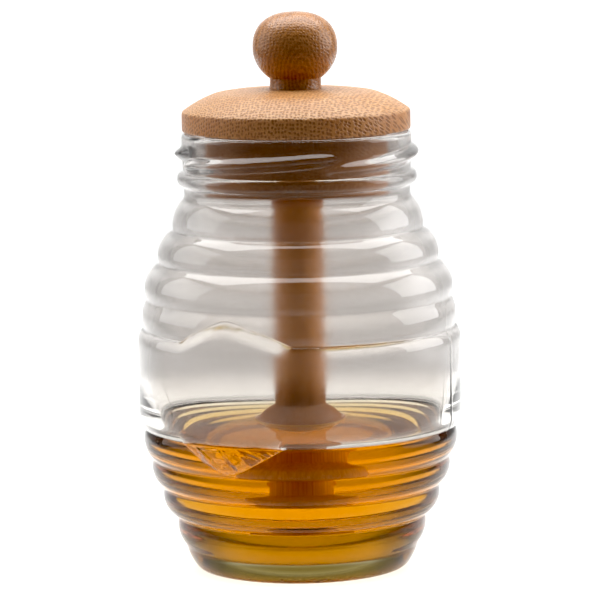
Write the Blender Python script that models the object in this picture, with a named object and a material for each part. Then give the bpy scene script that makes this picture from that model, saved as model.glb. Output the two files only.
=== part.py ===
# Bamboo honey pot: a ringed glass jar with honey in it, a turned bamboo lid and a dipper.
# Metres, +Z up. The origin is the middle of the foot, and the shown side faces -Y.
# An outline is a list of (radius, height) pairs, which is turned about the Z axis.

import math

import bmesh
import bpy

# Glass: the label band is the widest part, and the mouth takes the lid
BAND_RADIUS = 0.0400
BAND_TOP_CREASE = (0.0384, 0.0598)
BAND_LOW_CREASE = (0.0383, 0.0352)
BAND_TOP_SHOULDER = 0.0034
BAND_LOW_SHOULDER = 0.0034
GLASS_HEIGHT = 0.1079
NECK_RADIUS = 0.0281
LIP_RADIUS = 0.0284
MOUTH_RADIUS = 0.0253
MOUTH_FLARE = 0.0006
LIP_ROUND = 0.0012
BEAD_RADIUS = 0.0296
BEAD_HEIGHT = 0.0967
BEAD_HALF = 0.0018
NECK_ROOT = (0.0279, 0.0930)
WALL = 0.0026
FLOOR_HEIGHT = 0.0052
FLOOR_ROUND = 0.0042
PUNT_HEIGHT = 0.0016
PUNT_RADIUS = 0.0215
FOOT_OUTER = 0.0259
FOOT_INNER = 0.0240
INNER_SWELL = 0.45

# Creases between the rings (radius, height) and how far the ring above each one swells
RINGS_BELOW_BAND = (
    ((FOOT_OUTER, 0.0000), 0.0004),
    ((0.0290, 0.0058), 0.0009),
    ((0.0307, 0.0129), 0.0016),
    ((0.0342, 0.0203), 0.0013),
    ((0.0368, 0.0275), 0.0013),
    (BAND_LOW_CREASE, 0.0),
)
RINGS_ABOVE_BAND = (
    (BAND_TOP_CREASE, 0.0008),
    ((0.0377, 0.0671), 0.0017),
    ((0.0345, 0.0760), 0.0016),
    ((0.0309, 0.0840), 0.0010),
    ((0.0282, 0.0917), 0.0),
)
RING_STEPS = 4
ARC_SEARCH_STEPS = 24

# On the left of the front the band's upper edge rises in a wave and its lower edge hangs in a drip
WAVE_AZIMUTH = math.radians(-27.0)
WAVE_LEFT = math.radians(20.0)
WAVE_RIGHT = math.radians(24.0)
WAVE_RISE = 0.0060
WAVE_ROUND = 0.18
DRIP_LEFT = math.radians(20.0)
DRIP_RIGHT = math.radians(21.0)
DRIP_DROP = 0.0071
DRIP_ROUND = 0.10

# Lugs of the twist-off neck, four of them, each rising to the right
LUG_COUNT = 4
LUG_START_AZIMUTH = math.radians(14.0)
LUG_SWEEP = math.radians(98.0)
LUG_LOW = 0.1003
LUG_HIGH = 0.1036
LUG_CREST = 0.0299
LUG_ROOT = 0.0276
LUG_HALF_HEIGHT = 0.0021
LUG_HALF_FLAT = 0.0003
LUG_TIP_SIZE = 0.35
LUG_STEPS = 14
LUG_END_STEPS = 3

# Honey
HONEY_LEVEL = 0.0348

# Lid: a disc with a bevelled top, on a plug that hangs in the mouth
LID_RADIUS = 0.0281
LID_UNDERSIDE = 0.1082
LID_SIDE_TOP = 0.1130
LID_EDGE_ROUND = 0.0010
LID_TOP_RADIUS = 0.0196
LID_TOP_EDGE = 0.1175
LID_TOP = 0.1184
LID_FLAT_SHARE = 0.55
BEVEL_SWELL = 0.0004
PLUG_RADIUS = 0.0224
PLUG_UNDERSIDE = 0.0940

# Knob: a ball on a short neck
KNOB_RADIUS = 0.0104
KNOB_MIDDLE = 0.1284
KNOB_TOP = 0.1372
KNOB_LOWER_REACH = 0.0093
KNOB_SQUARENESS = 2.35
KNOB_NECK_RADIUS = 0.0063
KNOB_STEPS = 6

# Dipper: a round stick with a grooved head, which widens again at the honey's level
STEM_RADIUS = 0.0063
HEAD_TOP = 0.0398
HEAD_RADIUS = 0.0112
HEAD_SWELL = 0.0006
HEAD_OUTLINE = (
    (HEAD_RADIUS, 0.0336),
    (0.0103, 0.0302),
    (0.0076, 0.0286),
    (0.0076, 0.0274),
    (0.0095, 0.0262),
    (0.0093, 0.0246),
    (0.0053, 0.0232),
    (0.0053, 0.0206),
    (0.0060, 0.0201),
    (0.0059, 0.0193),
    (0.0048, 0.0188),
)

GAP = 0.0003
GLASS_SEGMENTS = 44
LID_SEGMENTS = 44
KNOB_SEGMENTS = 28
DIPPER_SEGMENTS = 24
MERGE_DISTANCE = 0.000001
SHARP_ANGLE = math.radians(30.0)

MATERIALS = {
    "clear_glass": dict(colour=(0.80, 0.80, 0.78), roughness=0.03),
    "honey": dict(colour=(0.78, 0.42, 0.06), roughness=0.08),
    "light_bamboo": dict(colour=(0.60, 0.36, 0.19), roughness=0.55),
    "dark_bamboo": dict(colour=(0.36, 0.18, 0.09), roughness=0.55),
}


def clear_scene():
    for thing in list(bpy.data.objects):
        bpy.data.objects.remove(thing)


def material(name):
    """A Principled material, made once and shared after that."""
    if name in bpy.data.materials:
        return bpy.data.materials[name]
    made = bpy.data.materials.new(name)
    made.use_nodes = True
    shader = made.node_tree.nodes["Principled BSDF"]
    shader.inputs["Base Color"].default_value = (*MATERIALS[name]["colour"], 1.0)
    shader.inputs["Roughness"].default_value = MATERIALS[name]["roughness"]
    shader.inputs["Metallic"].default_value = 0.0
    return made


def arc(start, end, swell, steps):
    """Points from start to end on a circle's arc that bows outwards by swell."""
    run = (end[0] - start[0], end[1] - start[1])
    chord = math.hypot(*run)
    way = 1.0 if run[1] > 0.0 else -1.0
    across = (way * run[1] / chord, -way * run[0] / chord)
    radius = chord * chord / (8.0 * swell) + swell / 2.0
    centre = (
        (start[0] + end[0]) / 2.0 - across[0] * (radius - swell),
        (start[1] + end[1]) / 2.0 - across[1] * (radius - swell),
    )
    first = math.atan2(start[1] - centre[1], start[0] - centre[0])
    last = math.atan2(end[1] - centre[1], end[0] - centre[0])
    angles = (first + (last - first) * step / steps for step in range(steps + 1))
    return [(centre[0] + radius * math.cos(a), centre[1] + radius * math.sin(a)) for a in angles]


def quarter(corner, reach, first, last, steps):
    """Points on an ellipse about corner, from the angle first to the angle last."""
    angles = (math.radians(first + (last - first) * step / steps) for step in range(steps + 1))
    return [(corner[0] + reach[0] * math.cos(a), corner[1] + reach[1] * math.sin(a)) for a in angles]


def peak(azimuth, left, right, rounding):
    """A peak of height 1 at the wave's azimuth, straight down to 0 on both sides, with a round top."""
    away = (azimuth - WAVE_AZIMUTH + math.pi) % (2.0 * math.pi) - math.pi
    share = min(1.0, abs(away) / (right if away > 0.0 else left))
    return 1.0 - (math.hypot(share, rounding) - rounding) / (math.hypot(1.0, rounding) - rounding)


def point_on_arc(start, end, swell, height):
    """The point at this height on the arc between two creases."""
    points = arc(start, end, swell, ARC_SEARCH_STEPS)
    for low, high in zip(points, points[1:]):
        if low[1] <= height <= high[1]:
            share = (height - low[1]) / (high[1] - low[1])
            return (low[0] + (high[0] - low[0]) * share, height)
    return start if height < start[1] else end


def glass_outside(azimuth):
    """The outside of the glass at one azimuth, from the middle of the foot up to the lip."""
    low = RINGS_BELOW_BAND[-2]
    drop = DRIP_DROP * peak(azimuth, DRIP_LEFT, DRIP_RIGHT, DRIP_ROUND)
    low_crease = point_on_arc(low[0], BAND_LOW_CREASE, low[1], BAND_LOW_CREASE[1] - drop)
    high = RINGS_ABOVE_BAND[0]
    rise = WAVE_RISE * peak(azimuth, WAVE_LEFT, WAVE_RIGHT, WAVE_ROUND)
    high_end = RINGS_ABOVE_BAND[1][0]
    high_crease = point_on_arc(high[0], high_end, high[1], BAND_TOP_CREASE[1] + rise)

    points = [(0.0, PUNT_HEIGHT), (PUNT_RADIUS, PUNT_HEIGHT), (FOOT_INNER, 0.0)]
    for (start, swell), (end, _) in zip(RINGS_BELOW_BAND[:-2], RINGS_BELOW_BAND[1:-1]):
        points += arc(start, end, swell, RING_STEPS)[:-1]
    points += arc_part(low[0], BAND_LOW_CREASE, low[1], low[0][1], low_crease[1])[:-1]
    reach = (BAND_RADIUS - low_crease[0], BAND_LOW_SHOULDER)
    points += quarter((low_crease[0], low_crease[1] + BAND_LOW_SHOULDER), reach, -90.0, 0.0, 3)
    reach = (BAND_RADIUS - high_crease[0], BAND_TOP_SHOULDER)
    points += quarter((high_crease[0], high_crease[1] - BAND_TOP_SHOULDER), reach, 0.0, 90.0, 3)[:-1]
    points += arc_part(high[0], high_end, high[1], high_crease[1], high_end[1])[:-1]
    for (start, swell), (end, _) in zip(RINGS_ABOVE_BAND[1:], RINGS_ABOVE_BAND[2:]):
        points += arc(start, end, swell, RING_STEPS)[:-1]
    points += [RINGS_ABOVE_BAND[-1][0], NECK_ROOT]
    reach = (BEAD_RADIUS - NECK_RADIUS, BEAD_HALF)
    points += quarter((NECK_RADIUS, BEAD_HEIGHT), reach, -90.0, 90.0, 4)
    lip = (LIP_RADIUS - LIP_ROUND, GLASS_HEIGHT - LIP_ROUND)
    return points + quarter(lip, (LIP_ROUND, LIP_ROUND), 0.0, 90.0, 3)


def arc_part(start, end, swell, low, high):
    """The stretch between two heights of the arc from start to end."""
    heights = (low + (high - low) * step / RING_STEPS for step in range(RING_STEPS + 1))
    return [point_on_arc(start, end, swell, height) for height in heights]


def glass_inside(gap=0.0):
    """The inside of the glass from the middle of its floor up to the mouth, set in by a gap."""
    inset = WALL + gap
    creases = [(point[0] - inset, point[1]) for point, _ in RINGS_BELOW_BAND[2:]]
    swells = [swell * INNER_SWELL for _, swell in RINGS_BELOW_BAND[2:-1]]
    creases += [(point[0] - inset, point[1]) for point, _ in RINGS_ABOVE_BAND[:-1]]
    band_swell = BAND_RADIUS - BAND_TOP_CREASE[0]
    swells += [band_swell] + [swell * INNER_SWELL for _, swell in RINGS_ABOVE_BAND[:-2]]
    floor = FLOOR_HEIGHT + gap
    corner = (creases[0][0] - FLOOR_ROUND, floor + FLOOR_ROUND)
    points = [(0.0, floor)] + quarter(corner, (FLOOR_ROUND, FLOOR_ROUND), -90.0, 0.0, 3)
    for start, end, swell in zip(creases, creases[1:], swells):
        points += arc(start, end, swell, 3)[:-1]
    flare = (MOUTH_RADIUS + MOUTH_FLARE - gap, NECK_ROOT[1])
    points += [creases[-1], flare, (MOUTH_RADIUS - gap, BEAD_HEIGHT)]
    mouth = (MOUTH_RADIUS + LIP_ROUND, GLASS_HEIGHT - LIP_ROUND)
    return points + quarter(mouth, (LIP_ROUND, LIP_ROUND), 180.0, 90.0, 3)


def turned(name, outline_at, segments, material_name):
    """A solid whose outline, given for each azimuth, runs from the Z axis back to the Z axis."""
    mesh = bmesh.new()
    row = mesh.verts.layers.int.new("row")
    verts = []
    for index, (radius, height) in enumerate(outline_at(0.0)):
        verts.append(mesh.verts.new((0.0, -radius, height)))
        verts[-1][row] = index
    edges = [mesh.edges.new(pair) for pair in zip(verts, verts[1:])]
    bmesh.ops.spin(
        mesh, geom=verts + edges, cent=(0.0, 0.0, 0.0), axis=(0.0, 0.0, 1.0),
        angle=2.0 * math.pi, steps=segments, use_merge=True,
    )
    outlines = {}
    for vert in mesh.verts:
        if math.hypot(vert.co.x, vert.co.y) < MERGE_DISTANCE:
            continue
        azimuth = math.atan2(vert.co.x, -vert.co.y)
        key = round(azimuth * segments / (2.0 * math.pi)) % segments
        if key not in outlines:
            outlines[key] = outline_at(key * 2.0 * math.pi / segments)
        radius, height = outlines[key][vert[row]]
        angle = key * 2.0 * math.pi / segments
        vert.co = (radius * math.sin(angle), -radius * math.cos(angle), height)
    bmesh.ops.remove_doubles(mesh, verts=mesh.verts, dist=MERGE_DISTANCE)
    bmesh.ops.recalc_face_normals(mesh, faces=mesh.faces)
    return placed(name, mesh, material_name)


def placed(name, mesh, material_name):
    """The bmesh as a smooth-shaded object in the scene."""
    data = bpy.data.meshes.new(name)
    mesh.to_mesh(data)
    mesh.free()
    data.materials.append(material(material_name))
    data.shade_smooth()
    data.set_sharp_from_angle(angle=SHARP_ANGLE)
    thing = bpy.data.objects.new(name, data)
    bpy.context.scene.collection.objects.link(thing)
    return thing


def lug_section(share, size):
    """A lug's section at a share of its sweep; size 0 is its low, narrow tip."""
    height = LUG_LOW + (LUG_HIGH - LUG_LOW) * share
    fullness = LUG_TIP_SIZE + (1.0 - LUG_TIP_SIZE) * size
    crest = LUG_ROOT + (LUG_CREST - LUG_ROOT) * fullness
    half = LUG_HALF_HEIGHT * fullness
    return [
        (LUG_ROOT, height - half),
        (crest, height - LUG_HALF_FLAT),
        (crest, height + LUG_HALF_FLAT),
        (LUG_ROOT, height + half),
    ]


def make_lugs():
    """The four lugs of the neck, as closed ridges that sink a little into the glass."""
    mesh = bmesh.new()
    for lug in range(LUG_COUNT):
        start = LUG_START_AZIMUTH + 2.0 * math.pi * lug / LUG_COUNT
        sections = []
        for step in range(LUG_STEPS + 1):
            share = step / LUG_STEPS
            size = min(1.0, step / LUG_END_STEPS, (LUG_STEPS - step) / LUG_END_STEPS)
            angle = start + LUG_SWEEP * share
            sections.append([
                mesh.verts.new((radius * math.sin(angle), -radius * math.cos(angle), height))
                for radius, height in lug_section(share, size)
            ])
        corners = len(sections[0])
        for here, there in zip(sections, sections[1:]):
            for k in range(corners):
                after = (k + 1) % corners
                mesh.faces.new((here[k], here[after], there[after], there[k]))
        mesh.faces.new(sections[0])
        mesh.faces.new(sections[-1])
    bmesh.ops.recalc_face_normals(mesh, faces=mesh.faces)
    lugs = placed("lugs", mesh, "clear_glass")
    lugs.hide_render = True
    lugs.display_type = "WIRE"
    return lugs


def make_jar():
    """The glass, open at the mouth, with the lugs joined to its neck."""
    inside = glass_inside()

    def outline_at(azimuth):
        return glass_outside(azimuth) + inside[::-1]

    jar = turned("glass_jar", outline_at, GLASS_SEGMENTS, "clear_glass")
    join = jar.modifiers.new("Lugs", "BOOLEAN")
    join.operation = "UNION"
    join.object = make_lugs()
    return jar


def dipper_outline(gap=0.0):
    """The dipper from its top, under the plug, down to its tip, swollen by a gap."""
    top = PLUG_UNDERSIDE - GAP
    points = [(0.0, top), (STEM_RADIUS + gap, top)]
    points += arc((STEM_RADIUS + gap, HEAD_TOP), (HEAD_RADIUS + gap, HEAD_OUTLINE[0][1]), HEAD_SWELL, 4)
    points += [(radius + gap, height) for radius, height in HEAD_OUTLINE[1:]]
    tip = HEAD_OUTLINE[-1][1] - gap
    points[-1] = (points[-1][0], tip)
    return points + [(0.0, tip)]


def make_dipper():
    outline = dipper_outline()
    return turned("dipper", lambda azimuth: outline, DIPPER_SEGMENTS, "dark_bamboo")


def make_honey():
    """Honey up to its level, with the hollow that the dipper's head stands in."""
    wall = glass_inside(GAP)
    below = [point for point in wall if point[1] < HONEY_LEVEL - GAP]
    above = wall[len(below)]
    share = (HONEY_LEVEL - below[-1][1]) / (above[1] - below[-1][1])
    shore = (below[-1][0] + (above[0] - below[-1][0]) * share, HONEY_LEVEL)
    around = dipper_outline(GAP)
    under = [point for point in around if point[1] < HONEY_LEVEL - GAP]
    over = around[len(around) - len(under) - 1]
    share = (HONEY_LEVEL - under[0][1]) / (over[1] - under[0][1])
    edge = (under[0][0] + (over[0] - under[0][0]) * share, HONEY_LEVEL)
    outline = below + [shore, edge] + under
    return turned("honey", lambda azimuth: outline, GLASS_SEGMENTS, "honey")


def make_lid():
    """The disc and its plug, turned as one piece."""
    corner = (LID_RADIUS - LID_EDGE_ROUND, LID_SIDE_TOP - LID_EDGE_ROUND)
    edge = quarter(corner, (LID_EDGE_ROUND, LID_EDGE_ROUND), 0.0, 60.0, 2)
    outline = [
        (0.0, PLUG_UNDERSIDE),
        (PLUG_RADIUS, PLUG_UNDERSIDE),
        (PLUG_RADIUS, LID_UNDERSIDE),
        (LID_RADIUS - GAP, LID_UNDERSIDE),
        (LID_RADIUS, LID_UNDERSIDE + GAP),
    ]
    outline += edge[:-1]
    outline += arc(edge[-1], (LID_TOP_RADIUS, LID_TOP_EDGE), BEVEL_SWELL, 3)
    outline += [(LID_TOP_RADIUS * LID_FLAT_SHARE, LID_TOP), (0.0, LID_TOP)]
    return turned("bamboo_lid", lambda azimuth: outline, LID_SEGMENTS, "light_bamboo")


def knob_radius_at(height):
    """The ball's radius: a squarish ellipse above its middle and a plain one below."""
    if height >= KNOB_MIDDLE:
        share = (height - KNOB_MIDDLE) / (KNOB_TOP - KNOB_MIDDLE)
        return KNOB_RADIUS * (1.0 - share ** KNOB_SQUARENESS) ** (1.0 / KNOB_SQUARENESS)
    share = (KNOB_MIDDLE - height) / KNOB_LOWER_REACH
    return KNOB_RADIUS * math.sqrt(1.0 - share * share)


def make_knob():
    """The ball on its neck, standing on the lid."""
    foot = LID_TOP + GAP
    neck_share = math.sqrt(1.0 - (KNOB_NECK_RADIUS / KNOB_RADIUS) ** 2)
    neck_top = KNOB_MIDDLE - KNOB_LOWER_REACH * neck_share
    outline = [(0.0, foot), (KNOB_NECK_RADIUS, foot), (KNOB_NECK_RADIUS, neck_top)]
    for step in range(1, KNOB_STEPS):
        turn = math.pi / 2.0 * step / KNOB_STEPS
        height = KNOB_MIDDLE - (KNOB_MIDDLE - neck_top) * math.cos(turn)
        outline.append((knob_radius_at(height), height))
    for step in range(KNOB_STEPS):
        turn = math.pi / 2.0 * step / KNOB_STEPS
        height = KNOB_MIDDLE + (KNOB_TOP - KNOB_MIDDLE) * math.sin(turn)
        outline.append((knob_radius_at(height), height))
    outline.append((0.0, KNOB_TOP))
    return turned("lid_knob", lambda azimuth: outline, KNOB_SEGMENTS, "light_bamboo")


clear_scene()
make_jar()
make_honey()
make_dipper()
make_lid()
make_knob()
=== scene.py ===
import math

import bmesh
import bpy
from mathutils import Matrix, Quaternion, Vector, noise


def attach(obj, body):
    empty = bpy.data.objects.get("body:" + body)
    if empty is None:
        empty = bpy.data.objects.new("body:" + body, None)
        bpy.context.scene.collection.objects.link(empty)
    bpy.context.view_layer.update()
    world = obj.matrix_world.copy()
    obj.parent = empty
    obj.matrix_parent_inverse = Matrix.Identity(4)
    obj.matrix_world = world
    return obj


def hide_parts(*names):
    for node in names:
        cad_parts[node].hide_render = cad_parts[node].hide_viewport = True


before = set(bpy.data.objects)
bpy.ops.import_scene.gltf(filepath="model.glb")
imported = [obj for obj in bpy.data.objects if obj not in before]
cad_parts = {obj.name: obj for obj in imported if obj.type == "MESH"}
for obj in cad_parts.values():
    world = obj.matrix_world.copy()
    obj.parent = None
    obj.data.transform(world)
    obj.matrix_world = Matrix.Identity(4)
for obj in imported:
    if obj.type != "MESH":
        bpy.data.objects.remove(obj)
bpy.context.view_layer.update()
print("frame loaded:", ", ".join(sorted(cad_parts)))


class Wire:  # one output socket, so that sums on sockets read as sums
    def __init__(self, paint, socket):
        self.paint = paint
        self.socket = socket

    def math(self, operation, *values):
        return self.paint.node("ShaderNodeMath", {"operation": operation}, dict(enumerate(values)))

    def __add__(self, other):
        return self.math("ADD", self, other)

    def __sub__(self, other):
        return self.math("SUBTRACT", self, other)

    def __mul__(self, other):
        return self.math("MULTIPLY", self, other)


class Paint:  # one material and the nodes that make it
    def __init__(self, name, **constants):
        self.material = bpy.data.materials.new(name)
        self.material.use_nodes = True
        self.tree = self.material.node_tree
        self.shader = self.tree.nodes["Principled BSDF"]
        self.output = self.tree.nodes["Material Output"]
        for socket, value in constants.items():
            self.feed(self.shader.inputs[socket.replace("_", " ")], value)

    def feed(self, socket, value):
        if isinstance(value, Wire):
            self.tree.links.new(value.socket, socket)
        elif socket.type == "RGBA":
            socket.default_value = (*value, 1.0)
        else:
            socket.default_value = value

    def node(self, kind, settings=None, sockets=None, output=0):
        made = self.tree.nodes.new(kind)
        for key, value in (settings or {}).items():
            setattr(made, key, value)
        for key, value in (sockets or {}).items():
            self.feed(made.inputs[key], value)
        return Wire(self, made.outputs[output])

    def shine(self, **links):
        for socket, value in links.items():
            self.feed(self.shader.inputs[socket.replace("_", " ")], value)
        return self.material

    def place(self, size, turn=(0.0, 0.0, 0.0), centre=(0.0, 0.0, 0.0)):  # object space in cells of this size
        spot = self.node("ShaderNodeTexCoord", output="Object")
        turned = tuple(math.radians(angle) for angle in turn)
        sockets = {"Vector": spot, "Location": centre, "Rotation": turned, "Scale": size}
        return self.node("ShaderNodeMapping", {"vector_type": "TEXTURE"}, sockets)

    def height(self):  # above the table
        spot = self.node("ShaderNodeTexCoord", output="Object")
        return self.node("ShaderNodeSeparateXYZ", None, {"Vector": spot}, output="Z")

    def step(self, value, low, high, start=0.0, end=1.0):  # a soft step between two values
        sockets = {"Value": value, "From Min": low, "From Max": high, "To Min": start, "To Max": end}
        return self.node("ShaderNodeMapRange", {"interpolation_type": "SMOOTHSTEP"}, sockets)

    def mix(self, share, first, second, blend="MIX"):  # colours
        settings = {"data_type": "RGBA", "blend_type": blend}
        return self.node("ShaderNodeMix", settings, {0: share, 6: first, 7: second}, output=2)

    def grain(self, spot, scale=1.0, detail=2.0, roughness=0.5, distortion=0.0):
        sockets = {"Vector": spot, "Scale": scale, "Detail": detail, "Roughness": roughness}
        return self.node("ShaderNodeTexNoise", None, {**sockets, "Distortion": distortion})

    def bump(self, height, depth, strength=1.0):
        return self.node("ShaderNodeBump", None, {"Height": height, "Distance": depth, "Strength": strength})


def softMax(first, second, width):  # the larger of two radii, with a small fillet where they meet
    near = max(width - abs(first - second), 0.0) / width
    return max(first, second) + near * near * width / 4.0


def arcThrough(start, end, swell):  # centre and radius of a circle through two points, bowed outwards
    run = (end[0] - start[0], end[1] - start[1])
    chord = math.hypot(*run)
    across = (run[1] / chord, -run[0] / chord)
    radius = chord * chord / (8.0 * swell) + swell / 2.0
    middle = ((start[0] + end[0]) / 2.0, (start[1] + end[1]) / 2.0)
    return (middle[0] - across[0] * (radius - swell), middle[1] - across[1] * (radius - swell), radius)


def arcRadius(circle, height):  # how far out the circle reaches at a height
    away = (height - circle[1]) / circle[2]
    return circle[0] + circle[2] * math.sqrt(1.0 - away * away) if abs(away) < 1.0 else 0.0


def quarter(corner, reach, first, last, steps):  # points on an ellipse about corner, angles in degrees
    angles = (math.radians(first + (last - first) * step / steps) for step in range(steps + 1))
    return [(corner[0] + reach[0] * math.cos(a), corner[1] + reach[1] * math.sin(a)) for a in angles]


def between(low, high, steps):  # heights from low to high, close together near both
    return [low + (high - low) * (1.0 - math.cos(math.pi * step / steps)) / 2.0 for step in range(steps)]


def rounded(points, reach, steps=3):  # a polyline with each inner corner rounded off
    made = [points[0]]
    for before, corner, after in zip(points, points[1:], points[2:]):
        ends = []
        for other in (before, after):
            run = (other[0] - corner[0], other[1] - corner[1])
            share = min(0.45, reach / math.hypot(*run))  # so that two corners never meet
            ends.append((corner[0] + run[0] * share, corner[1] + run[1] * share))
        for step in range(steps + 1):
            t = step / steps
            parts = ((1.0 - t) ** 2, 2.0 * t * (1.0 - t), t * t)
            made.append(tuple(sum(w * p[k] for w, p in zip(parts, (ends[0], corner, ends[1]))) for k in (0, 1)))
    return made + [points[-1]]


def spaced(points, longest):  # a polyline with its long runs cut up
    made = [points[0]]
    for start, end in zip(points, points[1:]):
        cuts = max(1, math.ceil(math.dist(start, end) / longest))
        made += [tuple(s + (e - s) * cut / cuts for s, e in zip(start, end)) for cut in range(1, cuts + 1)]
    return made


def evenColumns(count):
    return [2.0 * math.pi * column / count for column in range(count)]


def turnedPiece(name, outlineAt, columns, paint, replaced):
    # spins an outline about Z, then moves each point to the outline of its own column
    shape = bmesh.new()
    row = shape.verts.layers.int.new("row")
    points = outlineAt(columns[0])
    verts = [shape.verts.new((0.0, -radius, height)) for radius, height in points]
    same = 1e-6  # points this close are one point
    for index, vert in enumerate(verts):
        vert[row] = index
    edges = [shape.edges.new(pair) for pair in zip(verts, verts[1:])]
    count = len(columns)
    bmesh.ops.spin(
        shape, geom=verts + edges, cent=(0.0, 0.0, 0.0), axis=(0.0, 0.0, 1.0),
        angle=2.0 * math.pi, steps=count, use_merge=True,
    )
    outlines = [outlineAt(azimuth) for azimuth in columns]
    for vert in shape.verts:
        if math.hypot(vert.co.x, vert.co.y) < same:
            continue
        column = round(math.atan2(vert.co.x, -vert.co.y) * count / (2.0 * math.pi)) % count
        radius, height = outlines[column][vert[row]]
        azimuth = columns[column]
        vert.co = (radius * math.sin(azimuth), -radius * math.cos(azimuth), height)
    bmesh.ops.remove_doubles(shape, verts=shape.verts, dist=same)
    bmesh.ops.recalc_face_normals(shape, faces=shape.faces)
    return shownPiece(name, shape, paint, replaced)


def shownPiece(name, shape, paint, replaced):
    mesh = bpy.data.meshes.new(name)
    shape.to_mesh(mesh)
    shape.free()
    mesh.materials.append(paint)
    mesh.shade_smooth()
    piece = bpy.data.objects.new(name, mesh)
    bpy.context.scene.collection.objects.link(piece)
    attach(piece, "root")
    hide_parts(replaced)
    print(f"{name}: {len(mesh.polygons)} faces")
    return piece


glass = {
    "columns": 256,
    "wall": 0.0026,
    "bandRadius": 0.0400,
    "bandShoulder": 0.0034,  # height of the round edge at the top and foot of the band
    "fillet": 0.00045,
    "footLean": (0.0004, 0.0008),  # out and up, where the side starts
    "footRound": 0.0006,
    "longest": 0.003,  # of a run across the foot
    "rows": {"ring": 12, "band": 32, "bead": 12, "neck": 30, "lip": 6, "floor": 8, "innerRing": 5, "innerBand": 12},
    "rowGap": 0.0001,
    "creases": [  # radius, height and swell of the ring above it
        (0.0259, 0.0000, 0.0004),
        (0.0290, 0.0058, 0.0009),
        (0.0307, 0.0129, 0.0016),
        (0.0342, 0.0203, 0.0013),
        (0.0368, 0.0275, 0.0013),
        (0.0383, 0.0352, 0.0),
        (0.0384, 0.0598, 0.0008),
        (0.0377, 0.0671, 0.0017),
        (0.0345, 0.0760, 0.0016),
        (0.0309, 0.0840, 0.0010),
        (0.0282, 0.0917, 0.0),
    ],
    "band": 5,  # which crease the label band starts from
    "waveFillet": 0.0014,
    "waveSoft": 2.5,  # where this times the wave's size is over 1, the band's edge has no ledge
    "waveAzimuth": -27.0,
    "wave": (20.0, 24.0, 0.18),  # reach to the left and right, roundness
    "waveRise": 0.0060,
    "drip": (20.0, 21.0, 0.10),
    "dripDrop": 0.0071,
    "neckRoot": (0.0279, 0.0930),
    "neckRadius": 0.0281,
    "beadRadius": 0.0296,
    "beadHeight": 0.0967,
    "beadHalf": 0.0018,
    "beadFoot": (0.0001, 0.0005),  # the small hollow under the bead, in and down
    "lipRadius": 0.0284,
    "lipHeight": 0.1079,
    "lipRound": 0.0012,
    "mouthRadius": 0.0253,
    "throat": 0.0006,  # how much wider the inside is at the neck's root
    "punt": (0.0215, 0.0016),
    "footInner": 0.0240,
    "floor": (0.0052, 0.0042),  # height of the floor and the round corner about it
    "innerSwell": 0.45,
    "lugs": {"count": 4, "start": 14.0, "sweep": 98.0, "low": 0.1003, "high": 0.1036,
             "crest": 0.0018, "half": 0.0021, "tip": 16.0, "thin": 0.45, "blunt": 0.8},
    "seams": (67.0, -113.0),  # where the two halves of the mould met
    "seamHeight": 0.00011,
    "seamHalf": 0.55,  # degrees
    "seamFaint": 0.12,  # share of that height away from the band
    "waver": (0.00009, 70.0),  # how far the inner wall wanders, and per metre how often
    "waverSpread": (0.03, 0.01),  # the noise is read on this radius, and fades inside the second
    "crowding": {"seam": (5.0, 1.6), "wave": (1.0, 26.0), "fine": 3600},  # more columns there, and within how far
    "tint": (0.658, 0.634, 0.616),
    "lowTint": (0.812, 0.787, 0.750),  # low on the band, where the honey's surface is seen through it
    "lowTintEnd": (0.0375, 0.0510),
    "wetTints": [  # below the band, where honey is behind it, from the floor up
        (0.0070, (0.79, 0.78, 0.62)), (0.0200, (0.76, 0.735, 0.67)), (0.0340, (0.84, 0.815, 0.74)),
    ],
    "wetShine": (0.14, 0.14, 0.14),
    "dripRipple": {"size": (0.0075, 0.0075, 0.0022), "turn": (0.0, 35.0, 0.0), "end": (0.0340, 0.0356),
                   "depth": 0.0016, "strength": 0.9},
    "stipple": {"cell": (0.0009, 0.0009, 0.0009), "dot": (0.2, 0.5), "end": (0.0006, 0.0016),
                "depth": 0.0003, "strength": 0.6},
    "footGreen": (0.170, 0.122, 0.024),
    "footGold": (0.25, 0.130, 0.016),
    "footGoldEnd": (0.0012, 0.0026),
    "footEnd": (0.0040, 0.0070),
    "haze": (0.0425, 0.0560, 0.02, 0.26),  # where it starts, where it is full, and how rough it is there
    "hazeEnd": (0.0860, 0.0960, 0.62),  # it thins out at the neck, to this share
    "facingUp": 0.7,  # how upright a normal is on the floor
    "floorTop": 0.012,  # above the round corner
    "underFloor": 0.0003,
    "insideReach": 0.0381,  # the inner wall stays within this radius
    "shoulder": 0.09,  # the haze covers the whole inside below this
}


def turnApart(azimuth, degrees):  # from an angle in degrees to this azimuth, in degrees, between -180 and 180
    return (math.degrees(azimuth) - degrees + 180.0) % 360.0 - 180.0


def peak(azimuth, left, right, rounding):  # 1 at the wave's azimuth, straight down to 0 on both sides
    away = turnApart(azimuth, glass["waveAzimuth"])
    share = min(1.0, abs(away) / (right if away > 0.0 else left))
    return 1.0 - (math.hypot(share, rounding) - rounding) / (math.hypot(1.0, rounding) - rounding)


def waveSize(azimuth):  # 1 at the top of the wave, 0 away from it
    return peak(azimuth, *glass["wave"])


rings = [
    arcThrough(low[:2], high[:2], low[2]) if low[2] else None
    for low, high in zip(glass["creases"], glass["creases"][1:])
]


def bandEdges(azimuth):  # heights of the band's lower and upper edge
    band = glass["band"]
    low = glass["creases"][band][1] - glass["dripDrop"] * peak(azimuth, *glass["drip"])
    high = glass["creases"][band + 1][1] + glass["waveRise"] * waveSize(azimuth)
    return low, high


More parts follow.
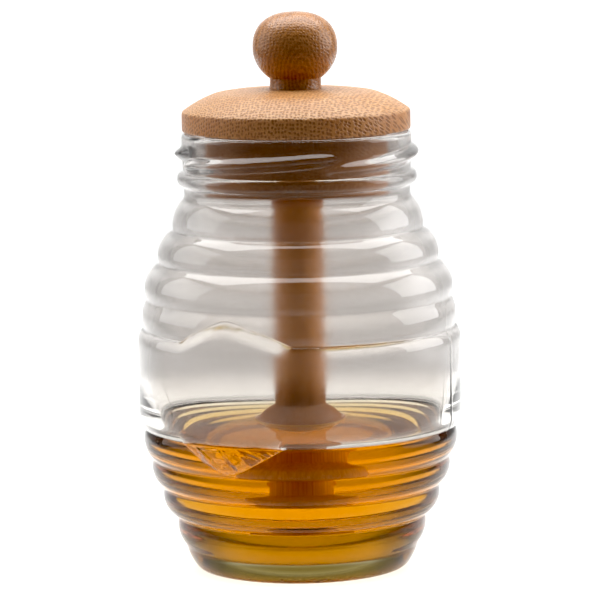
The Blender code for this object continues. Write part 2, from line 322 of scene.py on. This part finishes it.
def bandRadius(height, low, high, azimuth):
    if not low <= height <= high:
        return 0.0
    band = glass["band"]
    edge = rings[band - 1] if height - low < high - height else rings[band + 1]
    nearest = low if height - low < high - height else high
    crease = arcRadius(edge, nearest)
    share = min(1.0, abs(height - nearest) / glass["bandShoulder"])
    out = math.sqrt(1.0 - (1.0 - share) ** 2)
    if nearest == high:  # the wave rises from the ring above it without a ledge
        out += (math.sin(share * math.pi / 2.0) ** 2 - out) * min(1.0, glass["waveSoft"] * waveSize(azimuth))
    return crease + (glass["bandRadius"] - crease) * out


def ringRadius(height, azimuth, index, edges):  # outside of the jar between two creases
    low, high = edges
    band = glass["band"]
    radius = bandRadius(height, low, high, azimuth) if index == band else arcRadius(rings[index], height)
    for other in (index - 1, index + 1):
        if 0 <= other < len(rings):
            if other == band:
                reach = bandRadius(height, low, high, azimuth)
            elif rings[other] is None:
                reach = 0.0
            else:
                reach = arcRadius(rings[other], height)
            if index != band or reach < radius:
                width = glass["fillet"]
                if band in (index, other) and max(index, other) == band + 1:
                    width += glass["waveFillet"] * waveSize(azimuth)
                radius = softMax(radius, reach, width)
    return radius


def lugBump(height, azimuth):
    lugs = glass["lugs"]
    bump = 0.0
    for lug in range(lugs["count"]):
        start = lugs["start"] + 360.0 * lug / lugs["count"]
        along = (math.degrees(azimuth) - start) % 360.0
        if along > lugs["sweep"]:
            continue
        share = along / lugs["sweep"]
        size = min(1.0, along / lugs["tip"], (lugs["sweep"] - along) / lugs["tip"])
        size = math.sin(size * math.pi / 2.0) ** lugs["blunt"]
        middle = lugs["low"] + (lugs["high"] - lugs["low"]) * share
        off = abs(height - middle) / (lugs["half"] * (lugs["thin"] + (1.0 - lugs["thin"]) * size))
        if off < 1.0:
            bump = max(bump, lugs["crest"] * size * (0.5 + 0.5 * math.cos(math.pi * off)) ** lugs["blunt"])
    return bump


def seamBump(azimuth, height, low, high):  # clear on the band, faint elsewhere
    away = min(abs(turnApart(azimuth, seam)) for seam in glass["seams"])
    share = 1.0 if low < height < high else glass["seamFaint"]
    return share * glass["seamHeight"] * math.exp(-(away / glass["seamHalf"]) ** 2)


def glassOutside(azimuth):  # from the middle of the foot up to the lip
    edges = bandEdges(azimuth)
    band = glass["band"]
    heights = [crease[1] for crease in glass["creases"]]
    heights[band], heights[band + 1] = edges
    foot = glass["creases"][0][0]
    rows = glass["rows"]
    lean, rise = glass["footLean"]
    under = [(0.0, glass["punt"][1]), glass["punt"], (glass["footInner"], 0.0), (foot, 0.0)]
    points = spaced(rounded(under + [(foot + lean, rise)], glass["footRound"], 4)[:-1], glass["longest"])
    start = points[-1][1] + glass["rowGap"]
    for index, (low, high) in enumerate(zip(heights, heights[1:])):
        low = max(low, start)
        for height in between(low, high, rows["band"] if index == band else rows["ring"]):
            seam = seamBump(azimuth, height, *edges)
            points.append((ringRadius(height, azimuth, index, edges) + seam, height))
    root = glass["neckRoot"]
    neck, half = glass["neckRadius"], glass["beadHalf"]
    bead = quarter((neck, glass["beadHeight"]), (glass["beadRadius"] - neck, half), -90.0, 90.0, rows["bead"])
    inwards, down = glass["beadFoot"]
    points += [glass["creases"][-1][:2], root]
    points += [(neck - inwards, bead[0][1] - down)] + bead
    lipFoot = (glass["lipRadius"], glass["lipHeight"] - glass["lipRound"])
    for step in range(1, rows["neck"]):
        share = step / rows["neck"]
        height = bead[-1][1] + (lipFoot[1] - bead[-1][1]) * share
        points.append((neck + (lipFoot[0] - neck) * share + lugBump(height, azimuth), height))
    lip = glass["lipRound"]
    return points + quarter((lipFoot[0] - lip, lipFoot[1]), (lip, lip), 0.0, 90.0, rows["lip"])


def innerWall(azimuth, into=0.0):  # from the middle of the floor up to the mouth, sunk into the wall by a little
    inset = glass["wall"] - into
    creases = glass["creases"]
    picked = creases[2:-1]
    floor, corner = glass["floor"]
    floor -= into
    base = (picked[0][0] - inset - corner, floor + corner)
    points = [(0.0, floor), (base[0] * 0.5, floor)]
    points += quarter(base, (corner, corner), -90.0, 0.0, glass["rows"]["floor"])
    bandSwell = glass["bandRadius"] - creases[glass["band"] + 1][0]
    for low, high in zip(picked, picked[1:]):
        swell = low[2] * glass["innerSwell"] or bandSwell
        circle = arcThrough((low[0] - inset, low[1]), (high[0] - inset, high[1]), swell)
        steps = glass["rows"]["innerRing" if low[2] else "innerBand"]
        heights = [low[1] + (high[1] - low[1]) * step / steps for step in range(steps)]
        points += [(arcRadius(circle, height), height) for height in heights]
    mouth, lip = glass["mouthRadius"] + into, glass["lipRound"]
    last = picked[-1]
    points += [(last[0] - inset, last[1]), (mouth + glass["throat"], glass["neckRoot"][1])]
    points.append((mouth, glass["beadHeight"]))
    reach, often = glass["waver"]
    spread, fade = glass["waverSpread"]
    wavered = []
    for radius, height in points:
        spot = Vector((math.sin(azimuth) * spread, -math.cos(azimuth) * spread, height)) * often
        wavered.append((radius + reach * noise.noise(spot) * min(1.0, radius / fade), height))
    return wavered + quarter((mouth + lip, glass["lipHeight"] - lip), (lip, lip), 180.0, 90.0, glass["rows"]["lip"])


def jarColumns():  # azimuths, closer together at the mould seams and on the wave
    seamMore, seamNear = glass["crowding"]["seam"]
    waveMore, waveNear = glass["crowding"]["wave"]

    def density(degrees):
        azimuth = math.radians(degrees)
        seams = sum(math.exp(-(turnApart(azimuth, seam) / seamNear) ** 2) for seam in glass["seams"])
        wave = math.exp(-(turnApart(azimuth, glass["waveAzimuth"]) / waveNear) ** 4)
        return 1.0 + seamMore * seams + waveMore * wave

    fine = glass["crowding"]["fine"]
    weights = [density(360.0 * step / fine) for step in range(fine)]
    total = sum(weights)
    columns, passed = [], 0.0
    for step, weight in enumerate(weights):
        while len(columns) < glass["columns"] and passed + weight > len(columns) * total / glass["columns"]:
            share = (len(columns) * total / glass["columns"] - passed) / weight
            columns.append(2.0 * math.pi * (step + share) / fine)
        passed += weight
    return columns


def glassPaint(name, **constants):
    paint = Paint(name, **{"Roughness": 0.0, "IOR": 1.5, "Transmission_Weight": 1.0, **constants})
    return paint, paint.height()


def dryGlass(name):
    paint, height = glassPaint(name)
    uneven = glass["dripRipple"]
    ripple = paint.grain(paint.place(uneven["size"], uneven["turn"]), detail=1.0, distortion=0.6)
    ripple = ripple * paint.step(height, *uneven["end"], 1.0, 0.0)  # only the drip is below this
    paint.shine(
        Base_Color=paint.mix(paint.step(height, *glass["lowTintEnd"]), glass["lowTint"], glass["tint"]),
        Normal=paint.bump(ripple, uneven["depth"], uneven["strength"]),
    )
    return paint, height


def wetTint(paint, height):
    (start, low), (middle, tint), (top, high) = glass["wetTints"]
    return paint.mix(paint.step(height, middle, top), paint.mix(paint.step(height, start, middle), low, tint), high)


def ringGlass():  # the outside below the band
    paint, height = glassPaint("ringGlass", Specular_Tint=glass["wetShine"])
    knurl = glass["stipple"]
    cells = {"Vector": paint.place(knurl["cell"]), "Scale": 1.0}
    dots = paint.node("ShaderNodeTexVoronoi", {"feature": "F1"}, cells)
    stipple = paint.step(dots, *knurl["dot"], 1.0, 0.0) * paint.step(height, *knurl["end"], 1.0, 0.0)
    foot = paint.mix(paint.step(height, *glass["footGoldEnd"]), glass["footGold"], glass["footGreen"])
    return paint.shine(
        Base_Color=paint.mix(paint.step(height, *glass["footEnd"]), foot, wetTint(paint, height)),
        Normal=paint.bump(stipple, knurl["depth"], knurl["strength"]),
    )


def wettedGlass():  # honey against glass hardly reflects
    paint, height = glassPaint("wettedGlass", Specular_Tint=(0.0, 0.0, 0.0))
    return paint.shine(Base_Color=wetTint(paint, height))


def hazyGlass():  # the dry inside, with a film on it that blurs what stands behind
    paint, height = dryGlass("hazyGlass")
    low, high, least, most = glass["haze"]
    endLow, endHigh, left = glass["hazeEnd"]
    return paint.shine(
        Roughness=paint.step(height, low, high, least, most) * paint.step(height, endLow, endHigh, 1.0, left),
    )


jarPiece = turnedPiece(
    "glassJar", lambda azimuth: glassOutside(azimuth) + innerWall(azimuth)[::-1], jarColumns(),
    dryGlass("clearGlass")[0].material, "glass_jar",
)
for madePaint in (wettedGlass(), hazyGlass(), ringGlass()):
    jarPiece.data.materials.append(madePaint)
wettedSlot, hazySlot, ringSlot = 1, 2, 3


dipper = {
    "columns": 96,
    "stemRadius": 0.0063,
    "top": 0.0942,  # just inside the plug
    "headTop": 0.0398,
    "headRadius": 0.0112,
    "headSwell": 0.0006,
    "headRows": 6,
    "stemFoot": 0.001,  # above the head's top
    "edgeRound": 0.0004,
    "longest": 0.004,
    "head": [(0.0112, 0.0336), (0.0103, 0.0302), (0.0076, 0.0286), (0.0076, 0.0274), (0.0095, 0.0262),
             (0.0093, 0.0246), (0.0053, 0.0232), (0.0053, 0.0206), (0.0060, 0.0201), (0.0059, 0.0193),
             (0.0048, 0.0188)],
}


def dipperOutline(azimuth, grow=0.0):  # from its top down to its tip
    stem, head = dipper["stemRadius"], dipper["head"]
    headTop, rows = dipper["headTop"], dipper["headRows"]
    circle = arcThrough((dipper["headRadius"], head[0][1]), (stem, headTop), dipper["headSwell"])
    points = [(0.0, dipper["top"]), (stem, dipper["top"]), (stem, headTop + dipper["stemFoot"])]
    for step in range(rows + 1):
        height = headTop + (head[0][1] - headTop) * step / rows
        points.append((arcRadius(circle, height), height))
    points += head[1:] + [(0.0, head[-1][1])]
    points = [(r + grow if r else 0.0, h) for r, h in points]
    return spaced(rounded(points, dipper["edgeRound"]), dipper["longest"])


honey = {
    "columns": 192,
    "level": 0.0348,
    "into": 0.0001,
    "creep": (0.0007, 0.0011),  # how high the honey climbs at a wall, and how far out from it
    "shore": (0.0012, 0.0008, 0.0003),  # under the level: where wall, climb and dipper points end or start
    "rings": (0.004, 0.01, 0.02, 0.035, 0.055, 0.08, 0.12, 0.2, 0.35, 0.5, 0.65, 0.8, 0.88, 0.92, 0.945,
              0.965, 0.98, 0.99, 0.996),  # from the wall to the dipper, as shares
    "colour": (0.93, 0.715, 0.02),
    "density": 72.0,
}


def honeyOutline(azimuth):
    wall = innerWall(azimuth, honey["into"])
    level, (rise, reach) = honey["level"], honey["creep"]
    top = level + rise
    wallEnd, climbStart, dipperStart = (level - depth for depth in honey["shore"])
    below = [point for point in wall if point[1] < wallEnd]
    above = wall[len(below)]
    shore = []
    for height in (climbStart, top):
        share = (height - below[-1][1]) / (above[1] - below[-1][1])
        shore.append((below[-1][0] + (above[0] - below[-1][0]) * share, height))
    around = dipperOutline(azimuth, -honey["into"])
    under = [point for point in around if point[1] < dipperStart]
    over = around[len(around) - len(under) - 1]
    share = (top - under[0][1]) / (over[1] - under[0][1])
    inner = (under[0][0] + (over[0] - under[0][0]) * share, top)
    outer = shore[-1][0]
    surface = []
    for share in honey["rings"]:
        radius = outer + (inner[0] - outer) * share
        climb = math.exp(-(outer - radius) / reach) + math.exp(-(radius - inner[0]) / reach)
        surface.append((radius, level + rise * climb))
    return below + shore + surface + [inner] + under


def honeyPaint():
    paint = Paint(
        "amberHoney", Base_Color=(1.0, 1.0, 1.0), Roughness=0.0, IOR=1.49, Transmission_Weight=1.0,
        Specular_Tint=(0.0, 0.0, 0.0),  # its sides touch glass, and don't shine
    )
    amber = paint.node("ShaderNodeVolumeAbsorption", None, {"Color": honey["colour"], "Density": honey["density"]})
    paint.feed(paint.output.inputs["Volume"], amber)
    return paint.material


honeyPiece = turnedPiece(
    "honeyFill", honeyOutline, evenColumns(honey["columns"]), honeyPaint(), "honey",
)
for face in jarPiece.data.polygons:  # the inner wall is wetted by the honey, and hazy above it
    middle, facing, out = face.center, face.normal, face.center.xy.length
    onFloor = facing.z > glass["facingUp"] and middle.z < glass["floorTop"]
    inward = onFloor or middle.x * facing.x + middle.y * facing.y < 0.0
    if inward and out < glass["insideReach"] and middle.z > glass["floor"][0] - glass["underFloor"]:
        underLip = middle.z < glass["lipHeight"] - glass["lipRound"] / 2.0
        if middle.z < honey["level"]:
            face.material_index = wettedSlot
        elif underLip and out < glass["neckRadius"] or middle.z < glass["shoulder"]:
            face.material_index = hazySlot
    elif middle.z < bandEdges(math.atan2(middle.x, -middle.y))[0]:
        face.material_index = ringSlot
for piece in (jarPiece, honeyPiece):
    piece.visible_shadow = False


woodGrain = {
    "sway": (0.35, 0.5),  # how often the rows of bundles stray, and how far, in cells
    "broken": (1.3, 0.22, 0.46),  # how often bundles are missing, and between which levels
    "faint": (0.0004, 0.3),  # how softly, and to which share, bundles fade
    "fibreEnds": (0.3, 0.7),
    "broad": (0.006, 0.03, 0.006),
    "broadEnds": (0.35, 0.7),
    "darkeningStart": 0.0010,
    "layerEnds": (0.25, 0.8),
    "glossEnds": (0.2, 0.8),
    "fibreRelief": 0.35,  # against a bundle's
}


def bambooPaint(name, look):
    paint = Paint(name, Roughness=0.5)
    spot = paint.place(look["cell"], look["turn"])
    split = [paint.node("ShaderNodeSeparateXYZ", None, {"Vector": spot}, output=axis) for axis in "XYZ"]
    across = split[0] + split[0] * split[0] * look["crowding"]
    upward = split[2] if look["lies"] else split[1]
    often, far = woodGrain["sway"]
    sway = paint.grain(spot, scale=often, detail=0.0) * far
    packed = paint.node("ShaderNodeCombineXYZ", None, {"X": across + sway, "Y": upward - sway, "Z": 0.0})
    bundles = paint.node(
        "ShaderNodeTexVoronoi", {"voronoi_dimensions": "2D", "feature": "F1"},
        {"Vector": packed, "Scale": 1.0, "Randomness": look["scatter"]},
    )
    often, least, most = woodGrain["broken"]
    broken = paint.step(paint.grain(spot, scale=often, detail=1.0), least, most)
    height = paint.height()
    dots = paint.step(bundles, *look["dot"], 1.0, 0.0) * broken
    soft, left = woodGrain["faint"]
    dots = dots * paint.step(height, look["faintBelow"] - soft, look["faintBelow"], left, 1.0)
    fibres = paint.grain(paint.place(look["fibre"], look["turn"]), detail=3.0, roughness=0.6)
    broad = paint.grain(paint.place(woodGrain["broad"], look["turn"]), detail=2.0)
    colour = paint.mix(paint.step(fibres, *woodGrain["fibreEnds"]), look["light"], look["dark"])
    colour = paint.mix(paint.step(broad, *woodGrain["broadEnds"]) * look["patchShare"], colour, look["patch"])
    colour = paint.mix(dots * look["dotShare"], colour, look["dotColour"])
    # a darker band between two heights: on the lid, painted shade on the side and the plug; on the dipper, darker
    # just above the honey
    if look.get("darkening"):
        low, high, soft, darkening = look["darkening"]
        start = low - woodGrain["darkeningStart"]
        darkBand = paint.step(height, start, low) * paint.step(height, high - soft, high, 1.0, 0.0)
        colour = paint.mix(darkBand, colour, darkening, "MULTIPLY")
    # painted light: brighter, yellower wood under the honey
    if look.get("honeyLit"):
        low, high, tint = look["honeyLit"]
        colour = paint.mix(paint.step(height, low, high, 1.0, 0.0), colour, tint, "MULTIPLY")
    if look.get("layers"):
        layers = paint.node(
            "ShaderNodeTexWave", {"wave_type": "RINGS", "rings_direction": "Y"},
            {"Vector": paint.place((1.0, 1.0, 2.0), centre=look["layersAt"]), "Scale": look["layers"],
             "Distortion": 1.5, "Detail": 1.0, "Detail Scale": 0.6},
        )
        shown = paint.step(layers, *woodGrain["layerEnds"]) * look["layerShare"]
        colour = paint.mix(shown, colour, look["dotColour"])
    relief = fibres * woodGrain["fibreRelief"] - dots
    return paint.shine(
        Base_Color=colour,
        Roughness=paint.step(fibres, *woodGrain["glossEnds"], *look["gloss"]),
        Normal=paint.bump(relief, look["relief"], 0.6),
    )


lidBamboo = {
    "lies": True,
    "cell": (0.00086, 0.008, 0.00086),
    "turn": (-30.0, 0.0, -10.0),
    "crowding": -0.0045,
    "scatter": 0.50,
    "dot": (0.19, 0.47),
    "fibre": (0.00028, 0.009, 0.00028),
    "light": (0.70, 0.385, 0.165),
    "dark": (0.52, 0.250, 0.088),
    "patch": (0.50, 0.21, 0.06),
    "patchShare": 0.35,
    "dotColour": (0.34, 0.145, 0.045),
    "dotShare": 0.90,
    "faintBelow": 0.1082,  # the plug's bundles hardly show
    "darkening": (0.0900, 0.1133, 0.0007, (0.93, 0.80, 0.69)),  # painted shade: the side and the plug are darker and browner than the bevel, which the top lamp lights
    "gloss": (0.30, 0.44),
    "relief": 0.00018,
}

lid = {
    "columns": 192,
    "radius": 0.0281,
    "underside": 0.1082,
    "sideTop": 0.1130,
    "edgeRound": 0.0006,
    "topRadius": 0.0196,
    "topEdge": 0.1175,
    "top": 0.1184,
    "bevelSwell": 0.0004,
    "bevelRows": 8,
    "topRound": 0.0008,
    "crown": [(0.8, 0.00035), (0.55, 0.0)],  # shares of the top's radius, and how far under its middle
    "longest": 0.0025,
    "plugRadius": 0.0224,
    "plugUnderside": 0.0940,
}


def lidOutline(azimuth):
    side, plug, rows = lid["radius"], lid["plugRadius"], lid["bevelRows"]
    circle = arcThrough((side, lid["sideTop"]), (lid["topRadius"], lid["topEdge"]), lid["bevelSwell"])
    bevel = []
    for step in range(rows + 1):
        height = lid["sideTop"] + (lid["topEdge"] - lid["sideTop"]) * step / rows
        bevel.append((min(side, arcRadius(circle, height)), height))
    under = [(0.0, lid["plugUnderside"]), (plug, lid["plugUnderside"]), (plug, lid["underside"])]
    corners = under + [(side, lid["underside"]), bevel[0]]
    top = [(lid["topRadius"] * share, lid["top"] - drop) for share, drop in lid["crown"]] + [(0.0, lid["top"])]
    outline = rounded(corners + bevel[1:2], lid["edgeRound"])[:-1]
    return spaced(outline + rounded(bevel[1:] + top, lid["topRound"]), lid["longest"])


turnedPiece(
    "bambooLid", lidOutline, evenColumns(lid["columns"]), bambooPaint("lidBamboo", lidBamboo),
    "bamboo_lid",
)

knobBamboo = {
    **lidBamboo,
    "darkening": None,
    "cell": (0.00080, 0.008, 0.00080),
    "turn": (-26.0, 0.0, -6.0),
    "crowding": 0.0,
    "layers": 330.0,
    "layersAt": (0.0016, 0.0, 0.1215),
    "layerShare": 0.34,
    # painted shade: darker than the lid's bamboo, for the shade on the knob's front
    "light": (0.56, 0.26, 0.090),
    "dark": (0.40, 0.16, 0.045),
    "dotColour": (0.20, 0.07, 0.02),
    "dotShare": 0.34,
    "gloss": (0.20, 0.30),
    "relief": 0.00008,
}

knob = {
    "columns": 128,
    "radius": 0.0104,
    "middle": 0.1284,
    "top": 0.1372,
    "lowerReach": 0.0093,
    "squareness": 2.35,
    "neckRadius": 0.0063,
    "foot": 0.1181,  # a little inside the lid
    "footFlare": (0.0002, 0.0012),  # out and up
    "neckRound": 0.0004,
    "rows": (14, 18),  # below the middle and above it
}


def knobRadius(height):  # a squarish ellipse above the middle and a plain one below
    if height >= knob["middle"]:
        share = (height - knob["middle"]) / (knob["top"] - knob["middle"])
        return knob["radius"] * (1.0 - share ** knob["squareness"]) ** (1.0 / knob["squareness"])
    share = (knob["middle"] - height) / knob["lowerReach"]
    return knob["radius"] * math.sqrt(1.0 - share * share)


def knobOutline(azimuth):
    neck, middle = knob["neckRadius"], knob["middle"]
    neckTop = middle - knob["lowerReach"] * math.sqrt(1.0 - (neck / knob["radius"]) ** 2)
    flare, rise = knob["footFlare"]
    outline = [(0.0, knob["foot"]), (neck + flare, knob["foot"]), (neck, knob["foot"] + rise), (neck, neckTop)]
    below, above = knob["rows"]
    for step in range(1, below):
        height = middle - (middle - neckTop) * math.cos(math.pi / 2.0 * step / below)
        outline.append((knobRadius(height), height))
    for step in range(above):
        height = middle + (knob["top"] - middle) * math.sin(math.pi / 2.0 * step / above)
        outline.append((knobRadius(height), height))
    return rounded(outline[:5], knob["neckRound"]) + outline[5:] + [(0.0, knob["top"])]


turnedPiece(
    "lidKnob", knobOutline, evenColumns(knob["columns"]), bambooPaint("knobBamboo", knobBamboo),
    "lid_knob",
)

dipperBamboo = {
    **lidBamboo,
    "lies": False,
    "cell": (0.0009, 0.0009, 0.014),
    "turn": (0.0, 0.0, 0.0),
    "crowding": 0.0,
    "fibre": (0.0003, 0.0003, 0.012),
    "light": (0.86, 0.38, 0.100),
    "dark": (0.66, 0.26, 0.055),
    "patch": (0.56, 0.20, 0.040),
    "dotColour": (0.36, 0.12, 0.02),
    "relief": 0.00008,
    "darkening": (0.0345, 0.0520, 0.0120, (0.46, 0.42, 0.36)),  # darker just above the honey
    "honeyLit": (0.0338, 0.0344, (0.94, 1.32, 1.30)),  # painted light: the wood under the honey is brighter and yellower, as if lit through the honey
    "dotShare": 0.5,
    "gloss": (0.42, 0.6),
}

turnedPiece(
    "honeyDipper", dipperOutline, evenColumns(dipper["columns"]), bambooPaint("dipperBamboo", dipperBamboo),
    "dipper",
)

studio = {
    "floorLevel": -0.00005,  # just under the foot
    "sweepRadius": 2.0,
    "sweepHeight": 1.6,
    "sweepCorner": 0.6,
    "sweepRows": 12,
    "sweepColumns": 64,
    "pale": (0.88, 0.88, 0.87),
    "dim": (0.15, 0.15, 0.15),  # painted shade: the paper is dark in front and at the sides, where a pale floor would show in the glass
    "dimming": (-0.34, -0.09),
    "splay": 1.1,  # how fast the pale part widens towards the back
    "world": 0.01,
    "glow": (-0.16, 0.12),  # painted glow: the paper gives off its own light, dark at the camera's end and bright at the far end, as if lit from behind
    "floorGlow": 0.28,
    "far": (0.2, 1.1),
    "wallGlow": 0.82,
    "rim": (0.6, 1.6),  # far out it glows on all sides
    "rimGlow": 0.14,
    "lamps": {  # place, aim, size, watts
        "rightBox": ((0.60, 0.10, 0.30), (0.0, 0.0, 0.10), (0.50, 0.50), 2.4),
        "leftBox": ((-0.60, 0.10, 0.30), (0.0, 0.0, 0.10), (0.50, 0.50), 1.3),
        "topBox": ((0.0, 0.16, 0.58), (0.0, 0.06, 0.0), (0.90, 0.50), 6.8),
    },
}


def buildStudio():
    sweep = bmesh.new()
    radius, height, corner = studio["sweepRadius"], studio["sweepHeight"], studio["sweepCorner"]
    ground, rows = studio["floorLevel"], studio["sweepRows"]
    outline = [(0.0, ground), (radius - corner, ground)]
    outline += quarter((radius - corner, ground + corner), (corner, corner), -90.0, 0.0, rows)[1:]
    outline.append((radius, height))
    verts = [sweep.verts.new((0.0, -r, h)) for r, h in outline]
    edges = [sweep.edges.new(pair) for pair in zip(verts, verts[1:])]
    bmesh.ops.spin(
        sweep, geom=verts + edges, cent=(0.0, 0.0, 0.0), axis=(0.0, 0.0, 1.0),
        angle=2.0 * math.pi, steps=studio["sweepColumns"], use_merge=True,
    )
    bmesh.ops.remove_doubles(sweep, verts=sweep.verts, dist=1e-6)
    mesh = bpy.data.meshes.new("paleSweep")
    sweep.to_mesh(mesh)
    sweep.free()
    mesh.shade_smooth()
    paper = Paint("palePaper", Roughness=0.9, Emission_Strength=1.0)
    spot = paper.node("ShaderNodeTexCoord", output="Object")
    deep = paper.node("ShaderNodeSeparateXYZ", None, {"Vector": spot}, output="Y")
    aside = paper.node("ShaderNodeSeparateXYZ", None, {"Vector": spot}, output="X")
    deep = deep - aside.math("ABSOLUTE", aside) * studio["splay"]
    # painted glow: the paper's own emission, by depth and far out on all sides
    level = paper.step(deep, *studio["far"], studio["floorGlow"], studio["wallGlow"])
    away = paper.node("ShaderNodeVectorMath", {"operation": "LENGTH"}, {0: spot}, output="Value")
    glow = paper.step(deep, *studio["glow"]) * level
    glow = glow.math("MAXIMUM", glow, paper.step(away, *studio["rim"]) * studio["rimGlow"])
    # painted shade: dark paper in front and at the sides
    paper.shine(Base_Color=paper.mix(paper.step(deep, *studio["dimming"]), studio["dim"], studio["pale"]))
    mesh.materials.append(paper.shine(Emission_Color=paper.mix(glow, (0.0, 0.0, 0.0), (1.0, 1.0, 1.0))))
    floor = bpy.data.objects.new("paleSweep", mesh)
    bpy.context.scene.collection.objects.link(floor)
    for name, (place, aim, size, watts) in studio["lamps"].items():
        lamp = bpy.data.lights.new(name, "AREA")
        lamp.shape = "RECTANGLE"
        lamp.size, lamp.size_y = size
        lamp.energy = watts
        holder = bpy.data.objects.new(name, lamp)
        holder.location = place
        holder.rotation_mode = "QUATERNION"
        holder.rotation_quaternion = (Vector(aim) - Vector(place)).to_track_quat("-Z", "Y")
        holder.visible_transmission = name == "topBox"  # the side lamps don't show through the glass
        bpy.context.scene.collection.objects.link(holder)
    world = bpy.data.worlds.new("softRoom")
    world.use_nodes = True
    world.node_tree.nodes["Background"].inputs["Color"].default_value = (1.0, 1.0, 1.0, 1.0)
    world.node_tree.nodes["Background"].inputs["Strength"].default_value = studio["world"]
    bpy.context.scene.world = world


view = {
    "place": (0.0003, -0.900, 0.187),
    "target": (0.0003, 0.0, 0.066),
    "sensor": 36.0,
    "lens": 220.56,
    "clip": (0.05, 20.0),
    "lean": -0.88,  # degrees: the pot stands a hair out of plumb in the picture
    "black": (0.018, 0.018, 0.018),
    "bounces": {"max_bounces": 24, "transmission_bounces": 24, "glossy_bounces": 8, "diffuse_bounces": 4},
}


def buildCamera():
    place, target = Vector(view["place"]), Vector(view["target"])
    data = bpy.data.cameras.new("photoCamera")
    data.sensor_width = view["sensor"]
    data.lens = view["lens"]
    data.clip_start, data.clip_end = view["clip"]
    holder = bpy.data.objects.new("photoCamera", data)
    holder.location = place
    holder.rotation_mode = "QUATERNION"
    lean = Quaternion((0.0, 0.0, 1.0), math.radians(view["lean"]))
    holder.rotation_quaternion = (target - place).to_track_quat("-Z", "Y") @ lean
    bpy.context.scene.collection.objects.link(holder)
    bpy.context.scene.camera = holder


buildStudio()
buildCamera()
scene = bpy.context.scene
scene.view_settings.view_transform = "Standard"
scene.view_settings.use_curve_mapping = True
scene.view_settings.curve_mapping.black_level = view["black"]
for kind, most in view["bounces"].items():
    setattr(scene.cycles, kind, most)
print("studio and camera in place")
